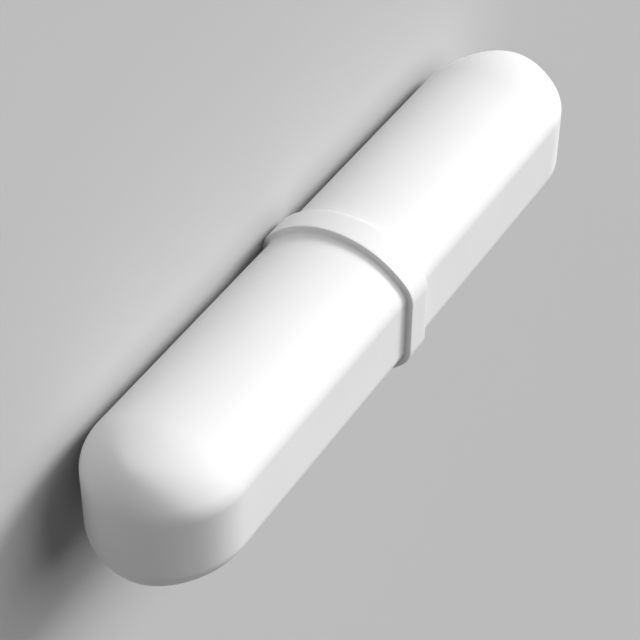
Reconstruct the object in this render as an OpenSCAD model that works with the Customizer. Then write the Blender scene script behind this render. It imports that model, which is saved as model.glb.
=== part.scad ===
// Magnetic stir bar: a rod magnet sealed inside one seamless moulded jacket.
//
// The jacket's cross-section has two flat sides, an arched crown between them on the left and on
// the right, and a soft corner where each side meets a crown. The same half-section turns about a
// crown-to-crown axis at each end and is drawn out a little, so the ends are rounded both ways. A
// pivot ring stands out round the middle, with a small fillet at its root.
//
// Millimetres. The bar lies along X on one flat side, its crowns face -Y and +Y, and +Z is up.
// The origin is the middle of the bar.

/* [Bar] */
// Length over the round ends
bar_length = 40; // [25:1:80]
// Width from crown to crown
bar_width = 8; // [6.5:0.5:10]
// Height from one flat side to the other
bar_height = 8; // [6.5:0.5:10]
// Width of the flat band along each side
side_flat = 3.1; // [1:0.1:3.4]
// Radius of the soft corner between a side and a crown
corner_radius = 1.2; // [0.4:0.1:2.2]
// How far each round end reaches beyond the straight part
end_reach = 4.2; // [3.5:0.1:7]

/* [Pivot ring] */
// Width of the ring along the bar
ring_width = 1.55; // [0.8:0.05:4]
// How far the ring stands out of the bar all round
ring_proud = 0.35; // [0.2:0.05:1]
// Radius of the fillet where the ring grows out of the bar
ring_root = 0.15; // [0.05:0.05:0.2]

/* [Magnet] */
// Thickness of jacket between the magnet and the nearer of side and crown
side_wall = 1.5; // [0.8:0.1:2.5]
// Thickness of jacket beyond each end of the magnet
end_wall = 3; // [2:0.5:8]
// Chamfer round each end of the magnet
magnet_chamfer = 0.4; // [0.1:0.1:0.6]
// Moulding gap between the magnet and the jacket
magnet_gap = 0.05; // [0.02:0.01:0.1]

/* [Hidden] */

$fn = 96;
root_steps = 6;

// Centre of the soft corner, in the quarter of the section with +Y and +Z.
corner_y = side_flat / 2;
corner_z = bar_height / 2 - corner_radius;

// The crown is the arc that touches the bar's full width and runs into both soft corners.
crown_drop = bar_width / 2 - corner_y;
crown_radius = (pow(corner_z, 2) + pow(crown_drop, 2) - pow(corner_radius, 2))
    / (2 * (crown_drop - corner_radius));
crown_y = bar_width / 2 - crown_radius;
// Angle, off the crown-to-crown line, at which the crown hands over to the soft corner.
crown_angle = atan2(corner_z, corner_y - crown_y);

// Half the length of the straight part, which ends where the round ends start.
straight = bar_length / 2 - end_reach;

magnet_radius = min(bar_width, bar_height) / 2 - side_wall;
magnet_half = bar_length / 2 - end_wall;

color_jacket = "white";
color_magnet = "dimgray";

// ---- Section across the bar, drawn with X towards a flat side and Y towards a crown ----

// A point on the line that parts the crown from the soft corner, well outside the ring. The
// line starts at the corner's centre and the two arcs touch where it crosses them.
hand_over = [corner_z + bar_width * sin(crown_angle), corner_y + bar_width * cos(crown_angle)];

// The stretch of the section's plane that one crown takes up.
module crown_zone() {
    polygon([[-corner_z, corner_y], [corner_z, corner_y], hand_over, [-hand_over[0], hand_over[1]]]);
}

// The stretch that one soft corner takes up.
module corner_zone() {
    polygon([[corner_z, corner_y], [bar_height, corner_y], [bar_height, hand_over[1]], hand_over]);
}

// Half of the section, from the crown-to-crown line out to one flat side.
module half_section() {
    translate([0, -corner_y]) square([bar_height / 2, side_flat]);
    for (flip = [0, 1]) mirror([0, flip]) {
        intersection() {
            translate([0, crown_y]) circle(crown_radius);
            crown_zone();
            square([bar_height, bar_width]);
        }
        intersection() {
            translate([corner_z, corner_y]) circle(corner_radius);
            corner_zone();
        }
    }
}

// ---- Straight part with its ring ----

// Lengthwise outline of the straight part, out to a surface at `reach`: plain bar, root fillet,
// ring, root fillet, plain bar. It is drawn with Y along the bar.
module lengthwise(reach) {
    half_ring = ring_width / 2;
    root = [for (k = [0:root_steps]) let (turn = 90 * k / root_steps)
        [reach + ring_root * (1 - cos(turn)), half_ring + ring_root * (1 - sin(turn))]];
    one_end = concat([[0, straight], [reach, straight]], root, [[reach + ring_proud, half_ring]]);
    other_end = [for (k = [len(one_end) - 1:-1:0]) [one_end[k][0], -one_end[k][1]]];
    polygon(concat(one_end, other_end));
}

// The lengthwise outline turned about an axis along X.
module turned(reach) {
    rotate([0, 90, 0]) rotate_extrude() lengthwise(reach);
}

// A stretch of the section's plane carried along the whole bar.
module along_bar() {
    translate([bar_length / 2, 0, 0]) rotate([0, -90, 0]) linear_extrude(bar_length) children();
}

module crown() {
    intersection() {
        translate([0, crown_y, 0]) turned(crown_radius);
        along_bar() crown_zone();
    }
}

module soft_corner() {
    intersection() {
        translate([0, corner_y, corner_z]) turned(corner_radius);
        along_bar() corner_zone();
    }
}

module side() {
    translate([0, -corner_y, corner_z]) rotate([-90, -90, 0])
        linear_extrude(side_flat) lengthwise(corner_radius);
}

module straight_part() {
    translate([-straight, -corner_y, -corner_z]) cube([2 * straight, side_flat, 2 * corner_z]);
    for (across = [0, 1]) mirror([0, across, 0]) {
        crown();
        for (up = [0, 1]) mirror([0, 0, up]) soft_corner();
    }
    for (up = [0, 1]) mirror([0, 0, up]) side();
}

// ---- Round ends ----

// The half-section turned half way round the crown-to-crown axis, then drawn out along the bar.
module round_end() {
    translate([straight, 0, 0]) scale([end_reach / (bar_height / 2), 1, 1]) rotate([90, 0, 0])
        rotate_extrude(angle = 180, start = -90) half_section();
}

// ---- Magnet and the space that holds it ----

// A rod along X with chamfered ends, grown all round by `grow`.
module rod(grow) {
    radius = magnet_radius + grow;
    half = magnet_half + grow;
    rotate([0, 90, 0]) rotate_extrude() polygon([
        [0, -half],
        [radius - magnet_chamfer, -half],
        [radius, -half + magnet_chamfer],
        [radius, half - magnet_chamfer],
        [radius - magnet_chamfer, half],
        [0, half]
    ]);
}

// ---- Sub-parts ----

module jacket() {
    color(color_jacket) difference() {
        union() {
            straight_part();
            for (end = [0, 1]) mirror([end, 0, 0]) round_end();
        }
        rod(magnet_gap);
    }
}

module magnet() {
    color(color_magnet) rod(0);
}

jacket();
magnet();
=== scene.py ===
"""Magnetic stir bar: a smooth moulded jacket with its pivot ring, the magnet sealed inside, and a stage.

Sizes are in metres. The bar lies along X on one flat side, its crowns face -Y and +Y, and +Z is up.
"""

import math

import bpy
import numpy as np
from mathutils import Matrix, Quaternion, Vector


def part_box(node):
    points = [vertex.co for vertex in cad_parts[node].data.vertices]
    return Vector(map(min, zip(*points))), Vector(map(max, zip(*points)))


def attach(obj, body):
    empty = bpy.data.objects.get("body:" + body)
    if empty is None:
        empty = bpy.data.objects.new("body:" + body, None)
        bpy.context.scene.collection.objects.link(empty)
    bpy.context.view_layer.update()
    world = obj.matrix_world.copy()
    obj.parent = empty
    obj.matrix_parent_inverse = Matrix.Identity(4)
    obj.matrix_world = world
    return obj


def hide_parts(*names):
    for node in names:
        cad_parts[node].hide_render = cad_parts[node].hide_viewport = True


bl_info = {
    "name": "Magnetic Stir Bar",
    "version": (1, 0, 0),
    "blender": (4, 5, 0),
    "location": "3D View > Sidebar > Stir Bar",
    "description": "Makes the jacket, the magnet's finish and the stage of a magnetic stir bar",
    "category": "Object",
}

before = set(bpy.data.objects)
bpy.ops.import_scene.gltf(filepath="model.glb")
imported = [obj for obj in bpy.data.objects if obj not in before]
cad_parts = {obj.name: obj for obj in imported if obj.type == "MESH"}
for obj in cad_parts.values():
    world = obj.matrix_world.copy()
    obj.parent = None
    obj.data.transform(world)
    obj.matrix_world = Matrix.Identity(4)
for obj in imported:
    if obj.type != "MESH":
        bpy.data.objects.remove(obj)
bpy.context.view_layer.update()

JACKET_LOW, JACKET_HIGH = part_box("jacket")
_, MAGNET_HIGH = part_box("magnet")
MM = 0.001

# Steps in each stretch of the jacket's section, of its lengthwise profile, of a round end and of the
# magnet's space.
CROWN_STEPS, CORNER_STEPS, FLAT_STEPS = 30, 22, 10
RING_STEPS, EDGE_STEPS, ROOT_STEPS, PLAIN_STEPS = 5, 6, 8, 30
END_STEPS = 96
ROD_STEPS, TURN_STEPS = 40, 64
# The plain bar's steps grow away from the ring as this power of their number.
STEP_GROWTH = 1.4
# Points nearer than this are one point.
SAME_POINT = 1e-8

FLOOR_SQUARES = 24


# ---- What a user can change ----


def distance(name, description, default, low, high):
    """A size in metres."""
    return bpy.props.FloatProperty(
        name=name, description=description, default=default, min=low, max=high,
        precision=5, subtype="DISTANCE", unit="LENGTH",
    )


def share(name, description, default):
    """A number from 0 to 1."""
    return bpy.props.FloatProperty(
        name=name, description=description, default=default, min=0.0, max=1.0, subtype="FACTOR"
    )


def strength(name, description, default):
    """How bright a light is."""
    return bpy.props.FloatProperty(name=name, description=description, default=default, min=0.0, max=50.0)


def tone(name, description, default):
    """A surface colour."""
    return bpy.props.FloatVectorProperty(
        name=name, description=description, default=default, min=0.0, max=1.0, subtype="COLOR", size=3
    )


def direction(name, description, default):
    """A direction to look or shine along."""
    return bpy.props.FloatVectorProperty(
        name=name, description=description, default=default, subtype="DIRECTION", size=3
    )


def angle(name, description, default):
    """An angle, with its default in degrees."""
    return bpy.props.FloatProperty(
        name=name, description=description, default=math.radians(default), min=-math.pi, max=math.pi,
        subtype="ANGLE", unit="ROTATION",
    )


class StirBarJacket(bpy.types.PropertyGroup):
    """Sizes and finish of the moulded jacket."""

    length: distance("Length", "Over the round ends", JACKET_HIGH.x - JACKET_LOW.x, 0.025, 0.08)
    side_flat: distance("Side flat", "Width of the flat band along each side", 3.1 * MM, 0.001, 0.0034)
    corner_radius: distance("Corner radius", "Soft corner between side and crown", 1.2 * MM, 0.0004, 0.0022)
    end_reach: distance("End reach", "How far each round end reaches", 4.2 * MM, 0.0035, 0.007)
    end_corner: distance("End corner", "Soft corner where a crown falls to an end", 2.2 * MM, 0.0004, 0.0023)
    ring_width: distance("Ring width", "Along the bar", 1.55 * MM, 0.0008, 0.004)
    ring_proud: distance("Ring stands out", "How far the ring stands out", 0.35 * MM, 0.0002, 0.001)
    ring_root: distance("Ring root", "Fillet where the ring grows out", 0.15 * MM, 0.00005, 0.0002)
    ring_edge: distance("Ring edge", "Rounding of the ring's outer edges", 0.04 * MM, 0.00001, 0.0001)
    magnet_gap: distance("Moulding gap", "Between the magnet and its space", 0.05 * MM, 0.00002, 0.0001)
    magnet_chamfer: distance("Magnet chamfer", "Round each end of its space", 0.4 * MM, 0.0001, 0.0006)
    colour: tone("Colour", "White fluoropolymer", (0.86, 0.86, 0.86))
    roughness: share("Roughness", "Satin finish of the moulded surface", 0.5)
    grain: distance("Grain", "Height of the moulded surface's fine grain", 0.0005 * MM, 0.0, 0.00001)


class StirBarMagnet(bpy.types.PropertyGroup):
    """Finish of the magnet rod."""

    colour: tone("Colour", "Cast aluminium-nickel-cobalt alloy", (0.27, 0.262, 0.25))
    roughness: share("Roughness", "Ground surface", 0.38)


class StirBarStage(bpy.types.PropertyGroup):
    """Floor, lights and camera."""

    floor_colour: tone("Floor", "Plain pale floor", (0.56, 0.56, 0.56))
    floor_reach: distance("Floor reach", "From the middle to each edge", 2.0, 0.1, 10.0)
    surround: strength("Surround", "Even light from all round and above", 0.095)
    walls: strength("Walls", "Brightness of the pale walls low down all round", 0.5)
    walls_top: angle("Walls' top", "Up to where the walls are at their full brightness", 4)
    walls_fade: angle("Walls' fade", "Up to where the walls fade into the surround", 9)
    key: strength("Key light", "Strength of the main light", 2.65)
    key_from: direction("Key from", "Towards the main light", (0.78, 0.44, 0.46))
    key_angle: angle("Key softness", "How wide the main light looks from the bar", 20)
    fill: strength("Fill light", "Strength of the wide second light", 1.6)
    fill_from: direction("Fill from", "Towards the second light", (0.38, 0.47, 0.8))
    fill_angle: angle("Fill softness", "How wide the second light looks from the bar", 60)
    camera_at: bpy.props.FloatVectorProperty(
        name="Camera", description="Where the camera stands", default=(-0.068138, 0.068281, 0.038466),
        subtype="TRANSLATION", unit="LENGTH", size=3, precision=5,
    )
    camera_towards: direction("Camera towards", "Where the camera looks", (0.64219, -0.66824, -0.37557))
    camera_roll: angle("Camera roll", "Turn of the camera about its line of sight", 111.93)
    camera_lens: bpy.props.FloatProperty(
        name="Lens", description="Focal length in millimetres", default=114.955, min=10.0, max=300.0
    )


class StirBarSettings(bpy.types.PropertyGroup):
    """Everything that the panel shows."""

    jacket: bpy.props.PointerProperty(type=StirBarJacket)
    magnet: bpy.props.PointerProperty(type=StirBarMagnet)
    stage: bpy.props.PointerProperty(type=StirBarStage)


# ---- Shader maths and nodes ----


class Value:
    """A number that changes over a surface. Sums on it add their own Math nodes."""

    def __init__(self, finish, socket):
        self.finish, self.socket = finish, socket

    def sum(self, operation, first, second):
        node = self.finish.node("Math", {"operation": operation}, {0: first, 1: second})
        return Value(self.finish, node.outputs[0])

    def __add__(self, other):
        return self.sum("ADD", self, other)

    def __radd__(self, other):
        return self.sum("ADD", other, self)

    def __sub__(self, other):
        return self.sum("SUBTRACT", self, other)

    def __rsub__(self, other):
        return self.sum("SUBTRACT", other, self)

    def __mul__(self, other):
        return self.sum("MULTIPLY", self, other)

    def __rmul__(self, other):
        return self.sum("MULTIPLY", other, self)


class Nodes:
    """A node tree, which starts empty."""

    def __init__(self, tree):
        self.tree = tree
        self.tree.nodes.clear()

    def node(self, kind, settings=None, inputs=None):
        """A node of this kind: its settings first, then a value or a link for each socket."""
        node = self.tree.nodes.new("ShaderNode" + kind)
        for name, setting in (settings or {}).items():
            setattr(node, name, setting)
        for name, value in (inputs or {}).items():
            socket = node.inputs[name]
            if isinstance(value, Value):
                value = value.socket
            if isinstance(value, bpy.types.NodeSocket):
                self.tree.links.new(value, socket)
            else:
                socket.default_value = value
        return node


class Finish(Nodes):
    """A material and its nodes, from an empty tree to the shader and the output."""

    def __init__(self, name):
        self.material = bpy.data.materials.get(name) or bpy.data.materials.new(name)
        self.material.use_nodes = True
        super().__init__(self.material.node_tree)
        self.place = self.node("TexCoord").outputs["Object"]

    def noise(self, size, detail=2.0, place=None):
        """Soft random patches about `size` metres across, from 0 to 1."""
        made = self.node(
            "TexNoise", {"noise_dimensions": "3D"},
            {"Vector": self.place if place is None else place, "Scale": 1.0 / size, "Detail": detail},
        )
        return Value(self, made.outputs["Fac"])

    def falling(self, value, end):
        """A number that goes evenly from 1 to 0 as the value goes from 0 to `end`, and stays there."""
        made = self.node("MapRange", inputs={
            "Value": value, "From Min": 0.0, "From Max": end, "To Min": 1.0, "To Max": 0.0,
        })
        return Value(self, made.outputs["Result"])

    def stretched(self, x, y, z):
        """Object coordinates scaled along each axis."""
        return self.node("Mapping", inputs={"Vector": self.place, "Scale": (x, y, z)}).outputs[0]

    def mix(self, factor, first, second):
        """From the first colour to the second as the factor goes from 0 to 1."""
        made = self.node(
            "Mix", {"data_type": "RGBA"}, {"Factor": factor, "A": (*first, 1.0), "B": (*second, 1.0)}
        )
        return made.outputs["Result"]

    def attribute(self, name):
        """A number that the mesh holds at each point."""
        return Value(self, self.node("Attribute", {"attribute_name": name}).outputs["Fac"])

    def relief(self, height):
        """The normal of a surface that rises and falls by `height` metres."""
        return self.node("Bump", inputs={"Height": height, "Distance": 1.0, "Strength": 1.0}).outputs[0]

    def shader(self, inputs):
        """The surface shader, joined to the output."""
        made = self.node("BsdfPrincipled", None, inputs)
        self.node("OutputMaterial", inputs={"Surface": made.outputs[0]})
        return self.material


def varied(colour, by):
    """A colour made darker by this share, and made lighter by it."""
    return [tuple(min(1.0, channel * (1 + step)) for channel in colour) for step in (-by, by)]


# ---- Jacket ----


def joined(*stretches):
    """Stretches of one outline joined end to end. Each holds the same quantities, as arrays or numbers."""
    return np.hstack([np.stack(np.broadcast_arrays(*np.atleast_1d(*each))) for each in stretches])


def crown_arc(out, across, corner_across, corner_radius):
    """Radius of a crown's arc, which is level in the middle and runs into the soft corner beside it.

    `out` is where the outline is straight again beyond the corner, and `across` is how high the crown
    stands. The arc touches that height, and the corner's circle touches the arc's end from inside. So
    the radius is the sum of the squares of the run and the drop from the crown's middle to the corner's
    centre, less the square of the corner's radius, divided by twice what the drop is more than that radius.
    """
    drop = across - corner_across
    return ((out - corner_radius) ** 2 + drop**2 - corner_radius**2) / (2 * (drop - corner_radius))


def half_section(jacket, width, height):
    """Half of the bar's section, from the middle of one crown round a flat side to the other crown.

    Each point is a centre plus a reach along a normal. The normal turns from the crown's direction to
    the flat side's: first about the crown's centre, with the crown's radius, then about the corner's
    centre, with the corner's radius, and the corner's centre then slides across the flat. The other
    quarter is the same, mirrored. Gives arrays of centre out and across, reach, and the normal's turn.
    """
    corner_across = jacket.side_flat / 2
    corner_out = height / 2 - jacket.corner_radius
    crown_radius = crown_arc(height / 2, width / 2, corner_across, jacket.corner_radius)
    crown_across = width / 2 - crown_radius
    hand_over = math.atan2(corner_out, corner_across - crown_across)

    crown = np.linspace(0, hand_over, CROWN_STEPS + 1)[:-1]
    corner = np.linspace(hand_over, math.pi / 2, CORNER_STEPS + 1)
    flat = np.linspace(corner_across, 0, FLAT_STEPS + 1)[1:]
    out, across, reach, turn = joined(
        (0, crown_across, crown_radius, crown),
        (corner_out, corner_across, jacket.corner_radius, corner),
        (corner_out, flat, jacket.corner_radius, math.pi / 2),
    )
    back = slice(-2, None, -1)
    return (
        np.r_[out, out[back]], np.r_[across, -across[back]],
        np.r_[reach, reach[back]], np.r_[turn, math.pi - turn[back]],
    )


def end_profile(jacket, width, across):
    """How far a round end reaches beyond the straight part, at places from the middle to a crown.

    Seen from a flat side, an end is rounded as the half-section is, with its own reach and a larger soft
    corner: straight across the flat's width, a quarter turn of the corner cut short, then the crown's arc.
    """
    across = np.abs(across)
    flat, corner = jacket.side_flat / 2, jacket.end_corner
    corner_out = jacket.end_reach - corner
    radius = crown_arc(jacket.end_reach, width / 2, flat, corner)
    centre = width / 2 - radius
    hand_over = flat + corner * math.cos(math.atan2(corner_out, flat - centre))
    on_corner = corner_out + np.sqrt(np.maximum(corner**2 - np.maximum(across - flat, 0) ** 2, 0))
    on_crown = np.sqrt(np.maximum(radius**2 - (across - centre) ** 2, 0))
    return np.where(across < hand_over, on_corner, on_crown)


def ring_profile(jacket, straight):
    """Places along the straight part and how far the surface stands out there.

    Half of the ring, from its middle: level, a quarter turn of the small edge radius, down the wall, a
    quarter turn of the root fillet, then plain bar whose steps grow towards the end. The other half is
    the same, mirrored.
    """
    half = jacket.ring_width / 2
    edge, root, proud = jacket.ring_edge, jacket.ring_root, jacket.ring_proud
    level = np.linspace(0, half - edge, RING_STEPS + 1)[:-1]
    over = np.linspace(0, math.pi / 2, EDGE_STEPS + 1)
    under = np.linspace(math.pi / 2, 0, ROOT_STEPS + 1)
    foot = half + root
    plain = foot + (straight - foot) * np.linspace(0, 1, PLAIN_STEPS + 1)[1:] ** STEP_GROWTH
    along, stands = joined(
        (level, proud),
        (half - edge + edge * np.sin(over), proud - edge + edge * np.cos(over)),
        (half + root * (1 - np.sin(under)), root * (1 - np.cos(under))),
        (plain, 0),
    )
    return np.r_[-along[:0:-1], along], np.r_[stands[:0:-1], stands]


def skin_of_jacket(jacket):
    """Grid of the jacket's outer surface, as an array of rows, columns and X, Y, Z, and how rubbed it is.

    Rows go along the half-section. Columns go once round the bar's outline as seen from a crown: along
    the top, round one end, along the bottom and round the other end. On the straight part a column is
    the half-section itself, pointing up or down. On an end each row is half an ellipse, as high as the
    half-section is there and as long as the end's own profile. It is rubbed where it stands out.
    """
    height = JACKET_HIGH.z - JACKET_LOW.z - 2 * jacket.ring_proud
    width = JACKET_HIGH.y - JACKET_LOW.y - 2 * jacket.ring_proud
    straight = jacket.length / 2 - jacket.end_reach
    out, across, reach, turn = half_section(jacket, width, height)
    along, stands = ring_profile(jacket, straight)

    swing = np.linspace(0, math.pi, END_STEPS + 1)[1:-1]
    place, beyond, height_share, stands = joined(
        (along, 0, 1, stands),
        (straight, np.sin(swing), np.cos(swing), 0),
        (along[::-1], 0, -1, stands[::-1]),
        (-straight, -np.sin(swing), -np.cos(swing), 0),
    )

    reach = reach[:, None] + stands
    out = out[:, None] + reach * np.sin(turn)[:, None]
    across = across[:, None] + reach * np.cos(turn)[:, None]
    end = end_profile(jacket, width, across)
    grid = np.stack([place + beyond * end, across, height_share * out], -1)
    rubbed = np.clip(stands / jacket.ring_proud, 0, 1) ** 4 + 0 * out
    return grid, rubbed


def space_for_magnet(jacket):
    """Grid of the sealed space inside the jacket: the magnet's outline grown by the moulding gap.

    Rows follow the outline from the middle of one end, over the chamfer, along the rod and over the
    other chamfer, and columns turn about X. The space's faces look inwards, away from the jacket.
    """
    half = MAGNET_HIGH.x + jacket.magnet_gap
    radius = MAGNET_HIGH.z + jacket.magnet_gap
    chamfer = jacket.magnet_chamfer
    side = np.linspace(-half + chamfer, half - chamfer, ROD_STEPS + 1)
    along, out = joined(
        (-half, 0), (-half, radius - chamfer), (side, radius), (half, radius - chamfer), (half, 0)
    )
    turn = np.linspace(0, 2 * math.pi, TURN_STEPS + 1)[:-1]
    return np.stack(
        [along[:, None] + 0 * turn, out[:, None] * np.cos(turn), out[:, None] * np.sin(turn)], -1
    )


def grid_faces(rows, columns):
    """Corner numbers of the four-sided faces of a grid that closes on itself from column to column.

    A face looks along the cross product of the step from row to row and the step from column to column.
    """
    here = np.arange(rows * columns).reshape(rows, columns)
    following = np.roll(here, -1, axis=1)
    return np.stack([here[1:], following[1:], following[:-1], here[:-1]], -1).reshape(-1, 4)


def closed_mesh(name, points, faces, attributes):
    """A mesh of these points and faces, with a value at each point for each attribute.

    Points that meet are made one. A face then has fewer corners, and is left out with fewer than three.
    """
    _, first, same = np.unique(
        np.round(points / SAME_POINT).astype(np.int64), axis=0, return_index=True, return_inverse=True
    )
    faces = same.reshape(-1)[faces]
    keep = faces != np.roll(faces, 1, axis=1)
    faces, keep = faces[keep.sum(1) > 2], keep[keep.sum(1) > 2]
    corners = keep.sum(1)
    mesh = bpy.data.meshes.new(name)
    mesh.vertices.add(len(first))
    mesh.vertices.foreach_set("co", points[first].astype(np.float32).ravel())
    mesh.loops.add(int(corners.sum()))
    mesh.loops.foreach_set("vertex_index", faces[keep].astype(np.int32))
    mesh.polygons.add(len(faces))
    mesh.polygons.foreach_set("loop_start", np.r_[0, np.cumsum(corners)[:-1]].astype(np.int32))
    mesh.polygons.foreach_set("use_smooth", np.ones(len(faces), bool))
    mesh.update(calc_edges=True)
    for label, values in attributes.items():
        held = mesh.attributes.new(label, "FLOAT", "POINT")
        held.data.foreach_set("value", values[first].astype(np.float32))
    if mesh.validate():
        raise RuntimeError(f"{name}: the mesh had faults")
    return mesh


def placed(name, data):
    """An object of this mesh, light or camera, in the scene. One of the same name is put away first."""
    old = bpy.data.objects.get(name)
    if old:
        bpy.data.objects.remove(old)
    made = bpy.data.objects.new(name, data)
    bpy.context.scene.collection.objects.link(made)
    return made


def moulded_white(jacket):
    """White moulded fluoropolymer: waxy satin, faint clouds and ripples, a fine grain, a smoother ring.

    The clouds shift the colour and the roughness a little, and the grain is lower where it is rubbed.
    """
    finish = Finish("moulded_white")
    rubbed = finish.attribute("rubbed")
    cloud = finish.noise(4 * MM, detail=3.0)
    ripple = finish.noise(1.3 * MM)
    grain = finish.noise(0.09 * MM, detail=3.0)
    height = ripple * (4 * jacket.grain) + grain * jacket.grain * (1 - 0.6 * rubbed)
    roughness = jacket.roughness + 0.1 * (cloud - 0.5) + 0.16 * (grain - 0.5) - 0.08 * rubbed
    return finish.shader({
        "Base Color": finish.mix(cloud, *varied(jacket.colour, 0.015)),
        "Roughness": roughness,
        "IOR": 1.35,
        "Subsurface Weight": 0.12,
        "Subsurface Radius": (1.0, 1.0, 1.0),
        "Subsurface Scale": 0.0004,
        "Normal": finish.relief(height),
    })


def ground_alloy(magnet):
    """Dark cast magnet alloy: fine grinding marks round the rod, and small dull pits from the casting."""
    finish = Finish("ground_alloy")
    marks = finish.noise(0.05 * MM, place=finish.stretched(1.0, 0.02, 0.02))
    patches = finish.noise(2 * MM, detail=4.0)
    pits = finish.falling(finish.noise(0.35 * MM, detail=3.0), 0.36)
    return finish.shader({
        "Base Color": finish.mix(patches, *varied(magnet.colour, 0.2)),
        "Metallic": 1.0 - 0.4 * pits,
        "Roughness": magnet.roughness + 0.14 * (marks - 0.5) + 0.3 * pits,
        "Normal": finish.relief(marks * (0.002 * MM) - pits * (0.02 * MM)),
    })


class STIRBAR_OT_jacket(bpy.types.Operator):
    """Make the moulded jacket with its pivot ring and the sealed space for the magnet"""

    bl_idname = "stir_bar.jacket"
    bl_label = "Jacket"
    bl_options = {"REGISTER", "UNDO"}

    def execute(self, context):
        jacket = context.scene.stir_bar.jacket
        skin, rubbed = skin_of_jacket(jacket)
        space = space_for_magnet(jacket)
        points = np.concatenate([skin.reshape(-1, 3), space.reshape(-1, 3)])
        faces = np.concatenate([
            grid_faces(*skin.shape[:2]),
            grid_faces(*space.shape[:2]) + skin.shape[0] * skin.shape[1],
        ])
        inside = np.zeros(space.shape[0] * space.shape[1])
        mesh = closed_mesh("jacket_skin", points, faces, {"rubbed": np.r_[rubbed.ravel(), inside]})
        mesh.materials.append(moulded_white(jacket))
        made = placed("jacket_skin", mesh)
        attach(made, "root")
        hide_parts("jacket")
        return {"FINISHED"}


class STIRBAR_OT_magnet(bpy.types.Operator):
    """Give the magnet rod its ground metal finish"""

    bl_idname = "stir_bar.magnet"
    bl_label = "Magnet"
    bl_options = {"REGISTER", "UNDO"}

    def execute(self, context):
        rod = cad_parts["magnet"]
        rod.material_slots[0].material = ground_alloy(context.scene.stir_bar.magnet)
        return {"FINISHED"}


# ---- Stage ----


def floor_mesh(reach, level):
    """A level grid of equal squares that reaches this far from the middle each way."""
    side = np.linspace(-reach, reach, FLOOR_SQUARES + 1)
    x, y = np.meshgrid(side, side)
    number = np.arange(x.size).reshape(x.shape)
    faces = np.stack([number[:-1, :-1], number[:-1, 1:], number[1:, 1:], number[1:, :-1]], -1)
    mesh = bpy.data.meshes.new("floor")
    mesh.from_pydata(np.stack([x, y, 0 * x + level], -1).reshape(-1, 3), [], faces.reshape(-1, 4))
    return mesh


def pale_board(stage):
    """Plain pale board with a faint tooth."""
    finish = Finish("pale_board")
    tooth = finish.noise(0.3 * MM)
    cloud = finish.noise(60 * MM)
    return finish.shader({
        "Base Color": finish.mix(cloud, *varied(stage.floor_colour, 0.015)),
        "Roughness": 0.8 + 0.1 * tooth,
        "Specular IOR Level": 0.2,
        "Normal": finish.relief(tooth * (0.002 * MM)),
    })


def surround_light(stage):
    """A world of even light, brighter low down, where pale walls stand all round.

    The brightness goes smoothly from the walls' to the rest's as the direction climbs through the fade.
    """
    world = bpy.data.worlds.get("surround") or bpy.data.worlds.new("surround")
    world.use_nodes = True
    nodes = Nodes(world.node_tree)
    towards = nodes.node("TexCoord").outputs["Generated"]
    climb = nodes.node("SeparateXYZ", inputs={"Vector": towards}).outputs["Z"]
    brightness = nodes.node("MapRange", {"interpolation_type": "SMOOTHSTEP"}, {
        "Value": climb, "From Min": math.sin(stage.walls_top), "From Max": math.sin(stage.walls_fade),
        "To Min": stage.walls, "To Max": stage.surround,
    }).outputs["Result"]
    light = nodes.node("Background", inputs={"Color": (1.0, 1.0, 1.0, 1.0), "Strength": brightness})
    nodes.node("OutputWorld", inputs={"Surface": light.outputs[0]})
    return world


def far_lamp(name, towards, energy, softness):
    """A far, wide lamp that shines evenly from one direction."""
    light = bpy.data.lights.new(name, "SUN")
    light.energy, light.angle = energy, softness
    lamp = placed(name, light)
    lamp.rotation_mode = "QUATERNION"
    lamp.rotation_quaternion = Vector(towards).to_track_quat("Z", "Y")


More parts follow.
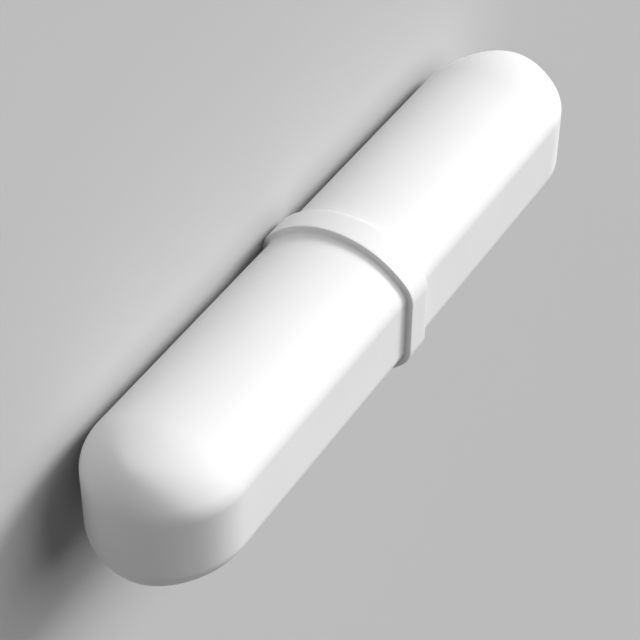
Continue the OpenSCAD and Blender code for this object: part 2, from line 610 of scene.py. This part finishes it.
def camera_of(stage):
    """The camera, turned to look its way and then rolled about its line of sight."""
    view = bpy.data.cameras.new("camera")
    view.lens, view.sensor_width = stage.camera_lens, 36.0
    view.clip_start, view.clip_end = 0.001, 10.0
    camera = placed("camera", view)
    camera.location = stage.camera_at
    camera.rotation_mode = "QUATERNION"
    look = Vector(stage.camera_towards).to_track_quat("-Z", "Y")
    camera.rotation_quaternion = look @ Quaternion((0, 0, 1), stage.camera_roll)
    return camera


class STIRBAR_OT_stage(bpy.types.Operator):
    """Make the pale floor, the soft light and the camera"""

    bl_idname = "stir_bar.stage"
    bl_label = "Stage"
    bl_options = {"REGISTER", "UNDO"}

    def execute(self, context):
        scene, stage = context.scene, context.scene.stir_bar.stage
        board = floor_mesh(stage.floor_reach, JACKET_LOW.z)
        board.materials.append(pale_board(stage))
        placed("floor", board)
        scene.world = surround_light(stage)
        far_lamp("key", stage.key_from, stage.key, stage.key_angle)
        far_lamp("fill", stage.fill_from, stage.fill, stage.fill_angle)
        scene.camera = camera_of(stage)
        scene.view_settings.view_transform = "Standard"
        return {"FINISHED"}


class STIRBAR_PT_panel(bpy.types.Panel):
    """Sizes, finishes and the stage of the stir bar"""

    bl_label = "Stir Bar"
    bl_idname = "STIRBAR_PT_panel"
    bl_space_type = "VIEW_3D"
    bl_region_type = "UI"
    bl_category = "Stir Bar"

    def draw(self, context):
        settings = context.scene.stir_bar
        for group, operator in (
            (settings.jacket, STIRBAR_OT_jacket),
            (settings.magnet, STIRBAR_OT_magnet),
            (settings.stage, STIRBAR_OT_stage),
        ):
            box = self.layout.box()
            for name in group.__annotations__:
                box.prop(group, name)
            box.operator(operator.bl_idname)


CLASSES = (
    StirBarJacket, StirBarMagnet, StirBarStage, StirBarSettings,
    STIRBAR_OT_jacket, STIRBAR_OT_magnet, STIRBAR_OT_stage, STIRBAR_PT_panel,
)


def register():
    for made in CLASSES:
        bpy.utils.register_class(made)
    bpy.types.Scene.stir_bar = bpy.props.PointerProperty(type=StirBarSettings)


def unregister():
    del bpy.types.Scene.stir_bar
    for made in reversed(CLASSES):
        bpy.utils.unregister_class(made)


def main():
    register()
    bpy.ops.stir_bar.jacket()
    bpy.ops.stir_bar.magnet()
    bpy.ops.stir_bar.stage()


if __name__ == "__main__":
    main()
